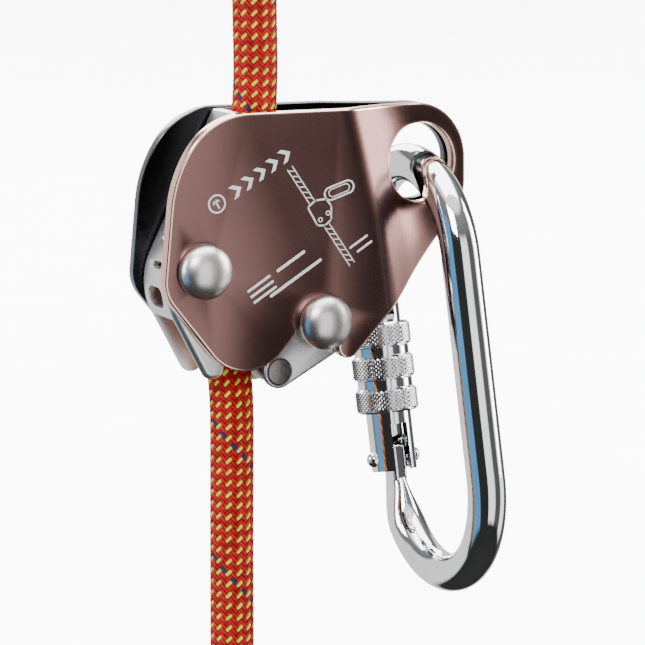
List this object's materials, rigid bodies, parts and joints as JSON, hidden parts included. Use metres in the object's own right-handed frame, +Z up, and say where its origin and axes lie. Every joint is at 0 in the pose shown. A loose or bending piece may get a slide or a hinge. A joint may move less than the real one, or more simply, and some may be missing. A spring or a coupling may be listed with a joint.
{
  "type": "rope grab",
  "caption": "Two-plate pivoting rope grab with a rope-channel shell, a sprung cam and a screw-gate oval carabiner, shown clamped on a length of braided rope.",
  "frame": {"origin": "on the axis of the hanging rope, level with the main pivot, midway between the two side plates", "axes": "+X from the rope towards the carabiner hole, +Y from the front plate to the back plate, +Z up the rope"},
  "size_m": [0.0842, 0.0672, 0.2673],
  "materials": {
    "bronze_plate": "bronze-brown anodised, brushed, with bright bevelled edges",
    "black_plate": "black anodised, brushed",
    "shell_metal": "brushed silver",
    "rivet_steel": "satin turned steel",
    "pin_steel": "dark turned steel",
    "arm_metal": "brushed silver with polished edges",
    "cam_steel": "machined steel",
    "bush_brass": "turned brass",
    "washer_nylon": "natural nylon",
    "spring_steel": "drawn spring wire",
    "carabiner_chrome": "polished chrome-plated steel",
    "knurled_chrome": "knurled chrome-plated steel",
    "rope_sheath": "braided red sheath with yellow flecks and a navy tracer",
    "sleeve_plastic": "black shrink sleeve",
    "thimble_steel": "stamped galvanised steel"
  },
  "bodies": {
    "shell": {"channel_shell": "shell_metal", "main_pivot_bush": "bush_brass", "rope_upper": "rope_sheath", "rope_lower": "rope_sheath", "rope_eye": "rope_sheath", "splice_sleeve": "sleeve_plastic", "eye_thimble": "thimble_steel", "rope_end_cap": "sleeve_plastic"},
    "lever": {"front_side_plate": "bronze_plate", "back_side_plate": "black_plate", "main_pivot_pin": "rivet_steel", "main_pivot_pin_rear_head": "rivet_steel", "main_pivot_washers": "washer_nylon", "cam_pin": "rivet_steel", "cam_pin_rear_head": "rivet_steel", "cam_pin_washers": "washer_nylon"},
    "cam": {"cam_block": "cam_steel", "cam_arm_front": "arm_metal", "cam_arm_back": "arm_metal", "cam_bush": "bush_brass", "cam_cross_pin": "pin_steel", "cam_torsion_spring": "spring_steel"},
    "carabiner": {"carabiner_frame": "carabiner_chrome"},
    "gate": {"carabiner_gate": "carabiner_chrome", "gate_hinge_pin": "pin_steel", "gate_latch_pin": "pin_steel", "gate_spring": "spring_steel", "gate_plunger": "pin_steel"},
    "sleeve": {"locking_sleeve": "knurled_chrome"}
  },
  "joints": [
    {"name": "lever_pivot", "type": "hinge", "parent": "shell", "child": "lever", "pos_m": [-0.0122, 0, 0], "axis": [0, -1, 0], "range_deg": [0, 22]},
    {"name": "cam_pivot", "type": "hinge", "parent": "lever", "child": "cam", "pos_m": [0.0195, 0, -0.0144], "axis": [0, -1, 0], "range_deg": [0, 35], "stiffness_Nm_per_rad": 0.02, "springref_deg": -34.38},
    {"name": "carabiner_swing", "type": "hinge", "parent": "lever", "child": "carabiner", "pos_m": [0.0513, 0, 0.02019], "axis": [0, -1, 0], "range_deg": [-15, 75]},
    {"name": "gate_hinge", "type": "hinge", "parent": "carabiner", "child": "gate", "pos_m": [0.05465, 0.02008, -0.05664], "axis": [0.999, 0, 0.0436], "range_deg": [0, 21], "stiffness_Nm_per_rad": 0.03, "springref_deg": -34.38},
    {"name": "sleeve_travel", "type": "slide", "parent": "gate", "child": "sleeve", "axis": [-0.043, 0.1685, 0.9848], "range_m": [0, 0.0095]}
  ]
}
